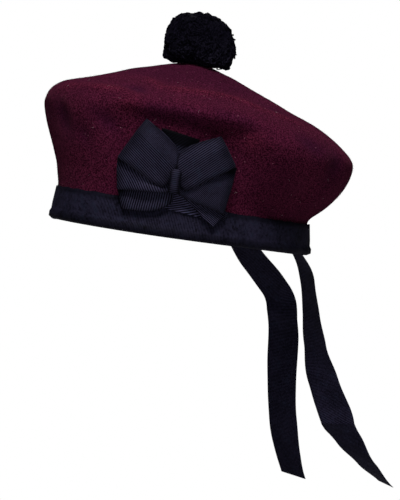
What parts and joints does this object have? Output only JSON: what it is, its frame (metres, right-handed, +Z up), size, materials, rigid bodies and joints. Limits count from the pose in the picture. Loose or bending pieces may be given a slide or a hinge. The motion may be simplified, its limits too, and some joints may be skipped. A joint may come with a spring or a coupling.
{
  "type": "balmoral bonnet",
  "caption": "Soft round wine-red wool bonnet with a black ribbed headband, a black ribbon cockade on the front left, a wool pompom on top and ribbon ties at the back",
  "frame": {"origin": "the centre of the rim's opening, where the bonnet sits on a head", "axes": "+Z up as worn, -Y the way the wearer looks, +X the wearer's left; the bonnet itself leans 11.7 degrees back, as it is worn"},
  "size_m": [0.2318, 0.269, 0.3776],
  "materials": {
    "maroon_felt": "fulled knitted wool in deep wine red, matt, fuzzy, with a few pale flecks",
    "black_grosgrain": "black ribbed ribbon with a slight blue cast and a soft sheen",
    "black_yarn": "dense curly black wool yarn, matt"
  },
  "bodies": {
    "root": {"crown": "maroon_felt", "headband": "black_grosgrain", "knot": "black_grosgrain", "loop_up_behind": "black_grosgrain", "loop_low_front": "black_grosgrain", "loop_mid_front": "black_grosgrain", "loop_high_front": "black_grosgrain", "loop_low_back": "black_grosgrain", "loop_high_back": "black_grosgrain", "pleat_below": "black_grosgrain", "tail_under": "black_grosgrain", "tail_over": "black_grosgrain", "tie_left": "black_grosgrain", "tie_right": "black_grosgrain", "pompom": "black_yarn"}
  },
  "joints": []
}
